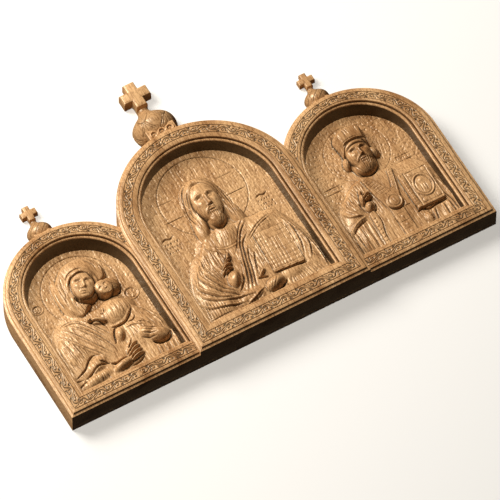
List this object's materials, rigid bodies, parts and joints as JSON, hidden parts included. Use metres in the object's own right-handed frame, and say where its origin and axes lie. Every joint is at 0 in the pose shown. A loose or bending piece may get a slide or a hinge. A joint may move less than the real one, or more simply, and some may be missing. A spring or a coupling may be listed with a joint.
{
  "type": "triptych altarpiece",
  "caption": "Carved wooden triptych icon board with three arched niches of relief figures, vine-scroll frames, onion domes and crosses.",
  "frame": {"origin": "middle of the board's width and height, on its flat back", "axes": "+X along the three panels, +Y up the figures, +Z out of the carved face; the board lies on its back"},
  "size_m": [0.3, 0.1994, 0.0204],
  "materials": {
    "carved_wood": "oiled golden-brown hardwood, satin, darker in the cuts"
  },
  "bodies": {
    "root": {"carved_triptych": "carved_wood"}
  },
  "joints": []
}
